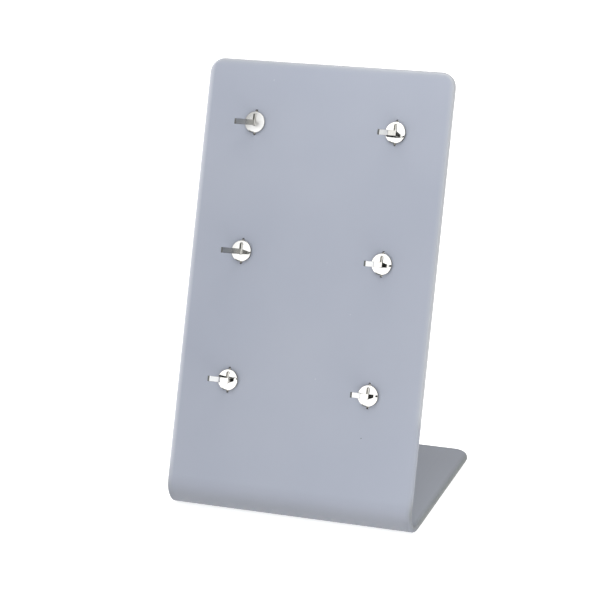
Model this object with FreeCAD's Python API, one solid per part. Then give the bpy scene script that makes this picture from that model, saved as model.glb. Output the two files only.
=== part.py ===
"""Pendant display stand: one heat-bent sheet with six metal pendant clips.

The sheet is a single 3 mm plastic sheet. It lies flat on the desk as the base, turns up round a
bend at the front and leans back as the panel that carries the pendants. Two columns of three
upright slits are cut through the panel. Each slit holds one clip: a round polished disc against
the panel's front, and a metal strip folded double that passes through disc and slit. In front the
strip is cut to an upright stub with a long narrow arm that a pendant hangs from. Behind the panel
its two leaves are spread flat, like the legs of a split pin.

Frame: millimetres, +X to the viewer's right, +Z up, the panel faces -Y. The origin is on the desk
at the middle of the width and halfway between the front of the bend and the back of the base.

Each clip is drawn in the panel's own frame: x across, y up the panel, z straight out of its front
face, with the middle of its slit at the origin.
"""

import FreeCAD, Part
import math
import os

from FreeCAD import Placement, Rotation, Vector

# Sheet
SHEET_WIDTH = 120.0
SHEET_THICKNESS = 3.0
PANEL_LENGTH = 214.0  # up the slope, from the sharp corner that the bend rounds off
BASE_LENGTH = 97.0  # along the desk, from the same sharp corner
LEAN_DEG = 24.0  # back from upright
BEND_OUTER_RADIUS = 10.0
PANEL_CORNER_RADIUS = 7.0
BASE_CORNER_RADIUS = 8.0
EDGE_ROUNDING = 1.3  # the cut edges are flame polished round

# Slits
COLUMN_SPACING = 68.8
ROW_SPACING = 60.0
TOP_ROW_BELOW_EDGE = 29.0
SLIT_LENGTH = 12.0
SLIT_WIDTH = 1.1

# Discs
DISC_DIAMETER = 9.8
DISC_THICKNESS = 1.6
DISC_FRONT_CHAMFER = 0.15
DISC_BACK_CHAMFER = 0.6
DISC_SLOT_CLEARANCE = 0.1  # round the strip on every side

# Folded strips
LEAF_THICKNESS = 0.4
FOLD_GAP = 0.1  # between the two leaves
STUB_HEIGHT = 5.4
STUB_BELOW_SLIT_MIDDLE = 1.6
STUB_STANDS_OUT = 1.1  # in front of the disc
STUB_TOP_ROUNDING = 0.8
ARM_HEIGHT = 2.5
ARM_REACH = 25.0  # from the panel's front to the arm's end
ARM_END_ROUNDING = 0.4
ARM_ROOT_ROUNDING = 0.3
STRIP_END_CLEARANCE = 0.6  # between the strip's back part and each end of the slit
TAB_REACH = 5.5  # from the middle of the slit
TAB_BEND_RADIUS = 0.15

CUTTER_OVERRUN = 1.0  # how far each cutting shape passes the faces that it cuts

# The arms were bent by hand, so each row points a little lower or higher than square
ROWS = (("top", -4.5), ("middle", -1.5), ("bottom", 2.0))
COLUMNS = (("left", -1), ("right", 1))

# Worked out from the sizes above
BEND_INNER_RADIUS = BEND_OUTER_RADIUS - SHEET_THICKNESS
BEND_SETBACK = BEND_OUTER_RADIUS * math.tan(math.radians(90.0 + LEAN_DEG) / 2)
FOOTPRINT_MIDDLE = (BEND_SETBACK - BEND_OUTER_RADIUS + BASE_LENGTH) / 2
STRIP_HALF_THICKNESS = LEAF_THICKNESS + FOLD_GAP / 2
STRIP_BACK_HEIGHT = SLIT_LENGTH - 2 * STRIP_END_CLEARANCE
STUB_FRONT = DISC_THICKNESS + STUB_STANDS_OUT
ALONG_PANEL = Vector(0, math.sin(math.radians(LEAN_DEG)), math.cos(math.radians(LEAN_DEG)))
INTO_SHEET = Vector(0, math.cos(math.radians(LEAN_DEG)), -math.sin(math.radians(LEAN_DEG)))
SHARP_CORNER = Vector(0, -FOOTPRINT_MIDDLE, 0)


def rounded_outline(corners):
    """Closed wire through the corners in turn, each given as (point, radius of its rounding)."""
    spans = []
    for index, (corner, radius) in enumerate(corners):
        before = corners[index - 1][0] - corner
        after = corners[(index + 1) % len(corners)][0] - corner
        if radius == 0:
            spans.append((corner, None, corner))
            continue
        before.normalize()
        after.normalize()
        half_angle = before.getAngle(after) / 2
        setback = radius / math.tan(half_angle)
        towards_middle = (before + after).normalize()
        crown = corner + towards_middle * (radius / math.sin(half_angle) - radius)
        spans.append((corner + before * setback, crown, corner + after * setback))
    edges = []
    for index, (start, crown, end) in enumerate(spans):
        if crown is not None:
            edges.append(Part.Arc(start, crown, end).toShape())
        next_start = spans[(index + 1) % len(spans)][0]
        if end.distanceToPoint(next_start) > 1e-6:
            edges.append(Part.makeLine(end, next_start))
    return Part.Wire(edges)


def prism(corners, along):
    """Solid with the rounded outline as its section, as long as the vector along."""
    return Part.Face(rounded_outline(corners)).extrude(along)


def on_panel(shape, across, above_corner):
    """Copy of a shape from the panel's own frame, set on the panel's front face."""
    origin = SHARP_CORNER + ALONG_PANEL * above_corner + Vector(across, 0, 0)
    placed = shape.copy()
    placed.Placement = Placement(origin, Rotation(Vector(1, 0, 0), 90.0 - LEAN_DEG))
    return placed


def slit_positions():
    """Name, tilt of the arm, place across and place above the sharp corner, for each clip."""
    for row_index, (row, tilt) in enumerate(ROWS):
        above_corner = PANEL_LENGTH - TOP_ROW_BELOW_EDGE - row_index * ROW_SPACING
        for column, side in COLUMNS:
            yield f"{row}_{column}", tilt, side * COLUMN_SPACING / 2, above_corner


def corner_edges(sheet, end_point):
    """The two edges through the sheet's thickness at the end that holds end_point."""
    at_end = Part.Vertex(end_point)
    face = min(sheet.Faces, key=lambda face: face.distToShape(at_end)[0])
    return [edge for edge in face.Edges if abs(edge.Vertexes[0].X - edge.Vertexes[-1].X) < 1e-6]


def cut_edges(sheet, end_points):
    """The edges all round the blank, where its cut side meets the two broad faces."""
    ends = [Part.Vertex(point) for point in end_points]

    def is_cut_side(face):
        low_u, high_u, low_v, high_v = face.ParameterRange
        normal = face.normalAt((low_u + high_u) / 2, (low_v + high_v) / 2)
        return abs(normal.x) > 0.01 or any(face.distToShape(end)[0] < 1e-6 for end in ends)

    found = []
    for edge in sheet.Edges:
        faces = sheet.ancestorsOfType(edge, Part.Face)
        if sum(is_cut_side(face) for face in faces) == 1:
            found.append(edge)
    return found


def bent_sheet():
    """Base, bend and leaning panel as one sheet, with its rounded corners, edges and slits."""
    base_end = SHARP_CORNER + Vector(0, BASE_LENGTH, 0)
    panel_end = SHARP_CORNER + ALONG_PANEL * PANEL_LENGTH
    inner_corner = SHARP_CORNER + (ALONG_PANEL + Vector(0, 1, 0)) * (
        SHEET_THICKNESS / ALONG_PANEL.z
    )
    upwards = Vector(0, 0, SHEET_THICKNESS)
    inwards = INTO_SHEET * SHEET_THICKNESS
    half_width = Vector(SHEET_WIDTH / 2, 0, 0)
    profile = [
        (base_end, 0),
        (SHARP_CORNER, BEND_OUTER_RADIUS),
        (panel_end, 0),
        (panel_end + inwards, 0),
        (inner_corner, BEND_INNER_RADIUS),
        (base_end + upwards, 0),
    ]
    sheet = prism([(point - half_width, radius) for point, radius in profile], half_width * 2)

    end_points = (panel_end + inwards / 2, base_end + upwards / 2)
    for end_point, radius in zip(end_points, (PANEL_CORNER_RADIUS, BASE_CORNER_RADIUS)):
        sheet = sheet.makeFillet(radius, corner_edges(sheet, end_point))
    sheet = sheet.makeFillet(EDGE_ROUNDING, cut_edges(sheet, end_points))

    cutter = slit_cutter()
    slits = [on_panel(cutter, across, above) for _, _, across, above in slit_positions()]
    return sheet.cut(slits)


def slit_cutter():
    """The space of one slit, through the sheet and out past both faces."""
    x = SLIT_WIDTH / 2
    y = SLIT_LENGTH / 2
    front = CUTTER_OVERRUN
    depth = SHEET_THICKNESS + 2 * CUTTER_OVERRUN
    corners = [
        Vector(side_x, side_y, front) for side_x, side_y in ((-x, -y), (x, -y), (x, y), (-x, y))
    ]
    return prism([(corner, x) for corner in corners], Vector(0, 0, -depth))


def clip_disc():
    """Round disc, turned from its half section, with a slot for the folded strip."""
    rim = DISC_DIAMETER / 2
    half_section = [
        (Vector(0, 0, 0), 0),
        (Vector(rim - DISC_BACK_CHAMFER, 0, 0), 0),
        (Vector(rim, 0, DISC_BACK_CHAMFER), 0),
        (Vector(rim, 0, DISC_THICKNESS - DISC_FRONT_CHAMFER), 0),
        (Vector(rim - DISC_FRONT_CHAMFER, 0, DISC_THICKNESS), 0),
        (Vector(0, 0, DISC_THICKNESS), 0),
    ]
    disc = Part.Face(rounded_outline(half_section)).revolve(Vector(0, 0, 0), Vector(0, 0, 1), 360)

    x = STRIP_HALF_THICKNESS + DISC_SLOT_CLEARANCE
    low = -STUB_BELOW_SLIT_MIDDLE - DISC_SLOT_CLEARANCE
    high = low + STUB_HEIGHT + 2 * DISC_SLOT_CLEARANCE
    depth = DISC_THICKNESS + 2 * CUTTER_OVERRUN
    slot = Part.makeBox(2 * x, high - low, depth, Vector(-x, low, -CUTTER_OVERRUN))
    return disc.cut(slot)


def folded_section():
    """The strip seen along the panel: a fold at the arm's end and two tabs behind the panel."""
    outer = STRIP_HALF_THICKNESS
    inner = FOLD_GAP / 2
    tab_front = -SHEET_THICKNESS - TAB_BEND_RADIUS
    tab_back = tab_front - LEAF_THICKNESS
    outer_bend = TAB_BEND_RADIUS + LEAF_THICKNESS
    right = [
        (Vector(outer, 0, ARM_REACH), outer),
        (Vector(outer, 0, tab_front), TAB_BEND_RADIUS),
        (Vector(TAB_REACH, 0, tab_front), 0),
        (Vector(TAB_REACH, 0, tab_back), 0),
        (Vector(inner, 0, tab_back), outer_bend),
        (Vector(inner, 0, ARM_REACH - LEAF_THICKNESS), inner),
    ]
    left = [(Vector(-point.x, 0, point.z), radius) for point, radius in reversed(right)]
    return right + left


def strip_outline(arm_tilt):
    """The strip seen from the side: back part, stub and arm, the arm tilted about its root."""
    low = -STUB_BELOW_SLIT_MIDDLE
    high = low + STUB_HEIGHT
    back_low = -STRIP_BACK_HEIGHT / 2
    back_high = STRIP_BACK_HEIGHT / 2
    back = -SHEET_THICKNESS - TAB_BEND_RADIUS - LEAF_THICKNESS

    turn = math.radians(arm_tilt)
    arm_length = ARM_REACH - STUB_FRONT
    along = Vector(0, math.sin(turn), math.cos(turn)) * arm_length
    up = Vector(0, math.cos(turn), -math.sin(turn)) * ARM_HEIGHT
    root = Vector(0, low, STUB_FRONT)
    arm_top_root = root + Vector(0, 1, 0) * (ARM_HEIGHT / math.cos(turn))
    return [
        (Vector(0, back_low, back), 0),
        (Vector(0, back_low, 0), 0),
        (Vector(0, low, 0), 0),
        (root, 0),
        (root + along, ARM_END_ROUNDING),
        (root + along + up, ARM_END_ROUNDING),
        (arm_top_root, ARM_ROOT_ROUNDING),
        (Vector(0, high, STUB_FRONT), STUB_TOP_ROUNDING),
        (Vector(0, high, 0), 0),
        (Vector(0, back_high, 0), 0),
        (Vector(0, back_high, back), 0),
    ]


def clip_strip(arm_tilt):
    """One folded strip: its bent section, cut to the outline that it has from the side."""
    half_height = Vector(0, STRIP_BACK_HEIGHT, 0)
    folded = prism([(point - half_height, r) for point, r in folded_section()], half_height * 2)
    half_span = Vector(TAB_REACH + CUTTER_OVERRUN, 0, 0)
    blank = prism([(point - half_span, r) for point, r in strip_outline(arm_tilt)], half_span * 2)
    return folded.common(blank)


def main():
    """Build every piece and write one STEP file for each."""
    pieces = {"bent_sheet": bent_sheet()}
    disc = clip_disc()
    for place, tilt, across, above_corner in slit_positions():
        pieces[f"disc_{place}"] = on_panel(disc, across, above_corner)
        pieces[f"strip_{place}"] = on_panel(clip_strip(tilt), across, above_corner)
    os.makedirs("parts", exist_ok=True)
    for name, shape in pieces.items():
        solid = shape.Solids[0] if len(shape.Solids) == 1 else shape
        solid.exportStep(f"parts/{name}.step")
        print(f"{name}: {len(shape.Solids)} solid, {shape.Volume:.2f} mm3, valid {shape.isValid()}")


main()
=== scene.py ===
"""Pendant display stand, dressed for the camera.

The stand is one satin plastic sheet, heat bent once, with six polished clips in its panel. Each
clip is a round disc against the panel's front and a metal strip folded double that runs through
disc and slit, with two tabs spread flat behind. The CAD solids stay in the model and give the
frame; every visible surface is rebuilt here from the same sizes, in the same places.

All sizes are in millimetres. A surface is worked out in its maker's own frame, flat blank or clip,
then carried to the stand and turned to metres as its mesh is made.
"""

import logging
import math
from dataclasses import dataclass, field
from enum import Enum
from functools import partial
from itertools import product
from typing import Any, Callable

import bmesh
import bpy
import numpy as np
from mathutils import Matrix, Vector

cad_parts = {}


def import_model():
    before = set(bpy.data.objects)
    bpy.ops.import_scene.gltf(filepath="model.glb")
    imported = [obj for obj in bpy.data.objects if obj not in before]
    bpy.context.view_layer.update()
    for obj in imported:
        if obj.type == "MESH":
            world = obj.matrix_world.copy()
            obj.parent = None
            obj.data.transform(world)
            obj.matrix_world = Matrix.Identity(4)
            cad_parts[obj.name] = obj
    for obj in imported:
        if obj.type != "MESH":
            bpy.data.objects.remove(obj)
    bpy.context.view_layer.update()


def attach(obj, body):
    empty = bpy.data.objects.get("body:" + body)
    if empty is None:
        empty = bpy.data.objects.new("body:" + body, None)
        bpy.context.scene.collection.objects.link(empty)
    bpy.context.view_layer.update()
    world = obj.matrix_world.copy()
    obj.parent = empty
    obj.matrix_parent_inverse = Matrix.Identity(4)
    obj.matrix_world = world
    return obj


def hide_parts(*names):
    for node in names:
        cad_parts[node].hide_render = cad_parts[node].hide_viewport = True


LOG = logging.getLogger("pendant_stand")
MILLIMETRE = 0.001
BODY = "root"
BLANK_SPAN = 300.0  # millimetres of the flat blank in one unit of its UV map
SPECK_PIXEL = (361.0, 438.5)  # where the photograph shows the one dark speck


class Slot(Enum):
    """The record's material slots for the sheet and the clip metal; the new pieces in this script don't
    read them.
    """

    SHEET = "sheet"
    CLIP_METAL = "clip_metal"


class Row(Enum):
    """The three rows of clips, counted down from the top of the panel."""

    TOP = 0
    MIDDLE = 1
    BOTTOM = 2


class Column(Enum):
    """The two columns of clips, by the side of the middle that they stand on."""

    LEFT = -1
    RIGHT = 1


class EdgeMark(Enum):
    """Names of the mesh attributes that tell a material where an edge or a frosted part is, and where glow
    and shade are painted.
    """

    POLISHED = "polished_edge"
    GLOWING = "glowing_edge"
    SHEARED = "sheared_edge"
    FROSTED = "frosted_part"
    PAINTED_DARK = "painted_dark_part"
    HEATED = "heated_part"


def linear(code: str) -> tuple[float, float, float, float]:
    """Turn an sRGB hex colour into linear red, green, blue and an alpha of one.

    Args:
        code: six hex digits, such as "B4BCCB".

    Returns:
        The colour as a shader socket wants it.
    """
    srgb = np.array([int(code[place:place + 2], 16) for place in (0, 2, 4)]) / 255.0
    light = np.where(srgb <= 0.04045, srgb / 12.92, ((srgb + 0.055) / 1.055) ** 2.4)
    return (*(float(value) for value in light), 1.0)


def per_metre(feature_mm: float) -> float:
    """Texture scale that makes one feature as many millimetres wide as given."""
    return 1.0 / (feature_mm * MILLIMETRE)


def add_node(
    tree: bpy.types.NodeTree, kind: str, inputs: dict[Any, Any] | None = None, **settings: Any
) -> bpy.types.Node:
    """Add a node with its settings, the values on its sockets and the links into it.

    Args:
        tree: node tree that gets the node.
        kind: Blender's name of the node type.
        inputs: socket name or number, with the value or the output socket that feeds it.
        settings: properties of the node itself.

    Returns:
        The new node.
    """
    node = tree.nodes.new(kind)
    for name, value in settings.items():
        setattr(node, name, value)
    for key, value in (inputs or {}).items():
        if isinstance(value, bpy.types.NodeSocket):
            tree.links.new(value, node.inputs[key])
        else:
            node.inputs[key].default_value = value
    return node


def read_mark(tree: bpy.types.NodeTree, mark: EdgeMark) -> bpy.types.NodeSocket:
    """Socket that reads one of the mesh's marks."""
    return add_node(tree, "ShaderNodeAttribute", attribute_name=mark.value).outputs["Fac"]


def maths(tree: bpy.types.NodeTree, operation: str, *values: Any) -> bpy.types.NodeSocket:
    """Socket with the result of one sum on sockets and numbers."""
    return add_node(tree, "ShaderNodeMath", dict(enumerate(values)), operation=operation).outputs["Value"]


def mix_value(tree: bpy.types.NodeTree, share: Any, under: Any, over: Any) -> bpy.types.NodeSocket:
    """Socket that goes from one value to another as the share goes from 0 to 1."""
    mixed = add_node(tree, "ShaderNodeMix", {"Factor": share, 2: under, 3: over}, data_type="FLOAT")
    return mixed.outputs[0]


def mix_colour(tree: bpy.types.NodeTree, share: Any, under: Any, over: Any) -> bpy.types.NodeSocket:
    """Socket that goes from one colour to another, each a socket or a hex colour."""
    under, over = (linear(colour) if isinstance(colour, str) else colour for colour in (under, over))
    mixed = add_node(tree, "ShaderNodeMix", {"Factor": share, 6: under, 7: over}, data_type="RGBA")
    return mixed.outputs[2]


def remap(
    tree: bpy.types.NodeTree,
    value: bpy.types.NodeSocket,
    start: tuple[float, float],
    end: tuple[float, float],
    smooth: bool = False,
) -> bpy.types.NodeSocket:
    """Socket with a value carried from one range to another, and held at the range's ends.

    Args:
        tree: node tree that gets the node.
        value: what is carried.
        start: the range that it comes from.
        end: the range that it goes to.
        smooth: whether it eases in and out, instead of going straight.

    Returns:
        The socket.
    """
    ranges = {"From Min": start[0], "From Max": start[1], "To Min": end[0], "To Max": end[1]}
    easing = "SMOOTHSTEP" if smooth else "LINEAR"
    carried = add_node(tree, "ShaderNodeMapRange", {"Value": value, **ranges}, interpolation_type=easing)
    return carried.outputs["Result"]


def add_noise(
    tree: bpy.types.NodeTree, vector: bpy.types.NodeSocket, scale: float, detail: float, **more: float
) -> bpy.types.NodeSocket:
    """Socket with noise from 0 to 1.

    Args:
        tree: node tree that gets the node.
        vector: coordinates that the noise reads.
        scale: its features to one unit of the coordinates.
        detail: how many finer layers it has.
        more: values of its other sockets.

    Returns:
        The socket.
    """
    inputs = {"Vector": vector, "Scale": scale, "Detail": detail, **more}
    return add_node(tree, "ShaderNodeTexNoise", inputs).outputs["Fac"]


class Skin:
    """One piece's surface, gathered patch by patch and welded where the patches meet."""

    WELD = 1e-4  # millimetres

    def __init__(self, *mark_names: str) -> None:
        """Start with no patch.

        Args:
            mark_names: names of the attributes that the surface carries, such as a kind of edge.
        """
        self._mark_names = mark_names
        self._points: list[np.ndarray] = []
        self._quads: list[np.ndarray] = []
        self._marks: list[np.ndarray] = []
        self._flats: list[np.ndarray] = []
        self._count = 0

    def add(
        self,
        points: np.ndarray,
        marks: tuple[np.ndarray | float, ...] = (),
        flat: np.ndarray | None = None,
        keep: np.ndarray | None = None,
    ) -> None:
        """Add one patch, a grid of points whose neighbours are joined by quads.

        Args:
            points: rows by columns by three, in millimetres.
            marks: how much of each named mark the points have, from 0 to 1.
            flat: rows by columns by two, each point's place on the flat blank from 0 to 1.
            keep: which of the patch's quads stay, rows less one by columns less one.
        """
        rows, columns = points.shape[:2]
        index = np.arange(rows * columns).reshape(rows, columns) + self._count
        quads = np.stack([index[:-1, :-1], index[:-1, 1:], index[1:, 1:], index[1:, :-1]], axis=-1)
        quads = quads.reshape(-1, 4) if keep is None else quads[keep]
        if flat is None:
            flat = points[..., :2] / 100.0
        self._points.append(points.reshape(-1, 3))
        self._quads.append(quads)
        spread = [np.broadcast_to(mark, (rows, columns)).reshape(-1) for mark in marks]
        self._marks.append(np.stack(spread, axis=-1) if spread else np.zeros((rows * columns, 0)))
        self._flats.append(flat.reshape(-1, 2))
        self._count += rows * columns

    def _welded(self) -> tuple[np.ndarray, ...]:
        """Join points that fall together and drop the quads that this leaves without a width.

        Returns:
            Points, quads, triangles, marks and flat places.
        """
        points = np.concatenate(self._points)
        key = np.round(points / self.WELD + 0.3137).astype(np.int64)
        _, first, which = np.unique(key, axis=0, return_index=True, return_inverse=True)
        quads = which.reshape(-1)[np.concatenate(self._quads)]
        same_as_next = quads == np.roll(quads, -1, axis=1)
        across = (quads[:, 0] == quads[:, 2]) | (quads[:, 1] == quads[:, 3])
        doubles = same_as_next.sum(axis=1)
        triangles = [
            np.delete(quads[(doubles == 1) & same_as_next[:, corner] & ~across], corner, axis=1)
            for corner in range(4)
        ]
        marks = np.concatenate(self._marks)[first]
        flats = np.concatenate(self._flats)[first]
        return points[first], quads[(doubles == 0) & ~across], np.concatenate(triangles), marks, flats

    def carried(self, to_stand: Callable[[np.ndarray], np.ndarray]) -> "Skin":
        """The same surface with its points carried from its own frame to the stand."""
        self._points = [to_stand(points) for points in self._points]
        return self

    def to_object(self, name: str, sharp_deg: float) -> bpy.types.Object:
        """Make the mesh and its object, with smooth shading, outward faces, marks and a UV map.

        Args:
            name: the object's name.
            sharp_deg: a fold sharper than this stays a crisp edge.

        Returns:
            The object, at the origin, linked to the scene.
        """
        points, quads, triangles, marks, flats = self._welded()
        mesh = bpy.data.meshes.new(name)
        mesh.from_pydata((points * MILLIMETRE).tolist(), [], quads.tolist() + triangles.tolist())
        mesh.update()
        shell = bmesh.new()
        shell.from_mesh(mesh)
        bmesh.ops.recalc_face_normals(shell, faces=shell.faces)
        shell.to_mesh(mesh)
        shell.free()

        for column, mark_name in enumerate(self._mark_names):
            attribute = mesh.attributes.new(mark_name, "FLOAT", "POINT")
            attribute.data.foreach_set("value", np.ascontiguousarray(marks[:, column], dtype=np.float32))
        corner_vertices = np.empty(len(mesh.loops), dtype=np.int32)
        mesh.loops.foreach_get("vertex_index", corner_vertices)
        layer = mesh.uv_layers.new(name="flat_blank")
        layer.uv.foreach_set("vector", flats[corner_vertices].astype(np.float32).ravel())
        mesh.shade_smooth()
        mesh.set_sharp_from_angle(angle=math.radians(sharp_deg))
        mesh.validate()

        piece = bpy.data.objects.new(name, mesh)
        bpy.context.scene.collection.objects.link(piece)
        return piece


def place_piece(piece: bpy.types.Object, node: str, finish: bpy.types.Material) -> None:
    """Dress a piece, stand it for its CAD node and let it ride on the stand's one body.

    Args:
        piece: the finished object.
        node: CAD node that the piece stands for.
        finish: its material.
    """
    piece.data.materials.append(finish)
    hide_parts(node)
    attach(piece, BODY)
    LOG.info("%s stands for %s: %d faces, %s", piece.name, node, len(piece.data.polygons), finish.name)


@dataclass(frozen=True)
class SatinCastAcrylic:
    """Cast acrylic sheet, pale blue grey, its faces etched satin and its edges flame polished.

    Etching leaves a fine even tooth, so the face shows a broad soft sheen and no clear image. The flame
    melts that tooth away, so the edges are glossy, and their colour is painted light and shade: a painted
    glow on the panel's sides and top, for light that runs inside the sheet and leaves at its edges. No
    light reaches the base's edges that way, so they get a painted shade, and standing on counters has also
    scratched them dull. The bend, the slit walls and the base's far end are painted darker as shade, and
    the base near the bend is painted lighter to lift its shade.
    """

    body: str = "91959F"
    body_cool: str = "888D99"
    base_end_shade: str = "94979E"  # painted shade: the base's far end, a little greyer than the panel's face, as it looks in the panel's shade
    base_painted_light: str = "A1A5AC"  # painted light: the base near the bend, lifted where the panel and the bend shade it most
    heated: str = "74777F"  # painted shade in the middle of the bend
    edge_glow: str = "D2D3D8"  # painted glow, where light leaves the sheet
    # painted shade on an edge that doesn't glow
    edge_shade: str = "7C7F7E"
    lint: str = "D9DCE2"
    speck: str = "4A4C52"
    ior: float = 1.49
    face_roughness: float = 0.46
    face_drift: float = 0.05  # how far the faces' roughness goes up and down
    edge_roughness: float = 0.30
    dull_roughness: float = 0.60
    dull_specular: float = 0.18  # the scratched edges scatter most of their sheen
    scratched_below: float = 0.3  # an edge is scratched where it glows less than this
    base_painted_light_mm: tuple[float, float] = (15.0, 75.0)  # along the blank, where the base's painted light grows in
    base_end_mm: tuple[float, float] = (78.0, 93.0)  # along the blank, where base turns to panel
    mottle_mm: float = 55.0  # slow drift of the pigment through the casting
    wave_mm: float = 48.0
    wave_depth_mm: float = 0.6
    tooth_mm: float = 0.9  # the etched tooth is near 0.05, drawn coarser so that it shows
    tooth_depth_mm: float = 0.08
    smudge_mm: float = 26.0  # marks of handling
    draw_line_mm: tuple[float, float] = (0.7, 160.0)  # faint lines from the masking film
    lint_spacing_mm: float = 11.0
    speck_place: tuple[float, float, float] = (0.0, 0.0, 0.0)  # metres, found from its pixel
    speck_mm: float = 0.34

    def make(self) -> bpy.types.Material:
        """Build the material.

        Returns:
            The material, which reads Object coordinates, the blank's UV map and the edge marks.
        """
        material = bpy.data.materials.new("satin_cast_acrylic")
        material.use_nodes = True
        tree = material.node_tree
        tree.nodes.clear()
        place = add_node(tree, "ShaderNodeTexCoord").outputs["Object"]
        blank = add_node(tree, "ShaderNodeUVMap", uv_map="flat_blank").outputs["UV"]
        edge = read_mark(tree, EdgeMark.POLISHED)
        glow = read_mark(tree, EdgeMark.GLOWING)
        scratched = remap(tree, glow, (0.0, self.scratched_below), (1.0, 0.0))
        dull = maths(tree, "MULTIPLY", edge, scratched)
        shader = add_node(
            tree,
            "ShaderNodeBsdfPrincipled",
            {
                "Base Color": self._body_colour(tree, place, blank, edge, glow),
                "Roughness": self._roughness(tree, place, blank, edge, dull),
                "IOR": self.ior,
                "Specular IOR Level": mix_value(tree, dull, 0.5, self.dull_specular),
                "Normal": self._relief(tree, place, edge),
            },
        )
        add_node(tree, "ShaderNodeOutputMaterial", {"Surface": shader.outputs["BSDF"]})
        return material

    def _body_colour(
        self,
        tree: bpy.types.NodeTree,
        place: bpy.types.NodeSocket,
        blank: bpy.types.NodeSocket,
        edge: bpy.types.NodeSocket,
        glow: bpy.types.NodeSocket,
    ) -> bpy.types.NodeSocket:
        """Pigment that drifts slowly, with lint and a speck, and painted light and shade: glow and shade at
        the edges, shade in the bend and at the base's far end, light on the base near the bend.

        Args:
            tree: the material's tree.
            place: Object coordinates.
            blank: the UV map of the flat blank, whose V runs from the base's end to the top.
            edge: the edge marks.
            glow: how much painted glow the edge has there.

        Returns:
            The colour socket.
        """
        drift = add_noise(tree, place, per_metre(self.mottle_mm), 2.0)
        panel = mix_colour(tree, drift, self.body, self.body_cool)
        separate = add_node(tree, "ShaderNodeSeparateXYZ", {"Vector": blank})
        along = maths(tree, "MULTIPLY", separate.outputs["Y"], BLANK_SPAN)
        # The base is painted: a painted shade at its far end and painted light near the bend.
        under_panel = remap(tree, along, self.base_painted_light_mm, (0.0, 1.0))
        base = mix_colour(tree, under_panel, self.base_end_shade, self.base_painted_light)
        face = mix_colour(tree, remap(tree, along, self.base_end_mm, (1.0, 0.0)), panel, base)
        # The edges go from a painted shade to a painted glow.
        rim = mix_colour(tree, glow, self.edge_shade, self.edge_glow)
        sheet = mix_colour(tree, edge, face, rim)
        # Painted shade in the bend.
        darkened = mix_colour(tree, read_mark(tree, EdgeMark.HEATED), sheet, self.heated)

        lint = add_node(
            tree, "ShaderNodeTexVoronoi", {"Vector": place, "Scale": per_metre(self.lint_spacing_mm)}
        )
        is_lint = remap(tree, lint.outputs["Distance"], (0.012, 0.022), (0.35, 0.0))
        with_lint = mix_colour(tree, is_lint, darkened, self.lint)
        away = add_node(tree, "ShaderNodeVectorMath", {0: place, 1: self.speck_place}, operation="DISTANCE")
        size = self.speck_mm * MILLIMETRE
        is_speck = remap(tree, away.outputs["Value"], (size * 0.6, size), (0.8, 0.0))
        return mix_colour(tree, is_speck, with_lint, self.speck)

    def _roughness(
        self,
        tree: bpy.types.NodeTree,
        place: bpy.types.NodeSocket,
        blank: bpy.types.NodeSocket,
        edge: bpy.types.NodeSocket,
        dull: bpy.types.NodeSocket,
    ) -> bpy.types.NodeSocket:
        """Even tooth with handling marks and film lines, and glossy where the flame passed.

        Args:
            tree: the material's tree.
            place: Object coordinates.
            blank: the UV map of the flat blank.
            edge: the edge marks.
            dull: where an edge is scratched dull.

        Returns:
            The roughness socket.
        """
        smudges = add_noise(tree, place, per_metre(self.smudge_mm), 4.0, Roughness=0.6)
        width, length = self.draw_line_mm
        stretch = (BLANK_SPAN / width, BLANK_SPAN / length, 1.0)
        drawn = add_node(tree, "ShaderNodeMapping", {"Vector": blank, "Scale": stretch})
        lines = add_noise(tree, drawn.outputs["Vector"], 1.0, 1.0)
        limits = (self.face_roughness - self.face_drift, self.face_roughness + self.face_drift)
        face = remap(tree, maths(tree, "ADD", smudges, lines), (0.7, 1.3), limits)
        flamed = mix_value(tree, edge, face, self.edge_roughness)
        return mix_value(tree, dull, flamed, self.dull_roughness)

    def _relief(
        self, tree: bpy.types.NodeTree, place: bpy.types.NodeSocket, edge: bpy.types.NodeSocket
    ) -> bpy.types.NodeSocket:
        """Fine tooth on the faces over a slow waviness that casting and heating leave.

        Args:
            tree: the material's tree.
            place: Object coordinates.
            edge: the edge marks.

        Returns:
            The normal socket.
        """
        wave = add_noise(tree, place, per_metre(self.wave_mm), 1.0)
        depth = self.wave_depth_mm * MILLIMETRE
        waved = add_node(tree, "ShaderNodeBump", {"Height": wave, "Strength": 0.35, "Distance": depth})
        toothed = add_node(
            tree,
            "ShaderNodeBump",
            {
                "Height": add_noise(tree, place, per_metre(self.tooth_mm), 2.0),
                "Strength": remap(tree, edge, (0.0, 1.0), (0.12, 0.0)),
                "Distance": self.tooth_depth_mm * MILLIMETRE,
                "Normal": waved.outputs["Normal"],
            },
        )
        return toothed.outputs["Normal"]


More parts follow.
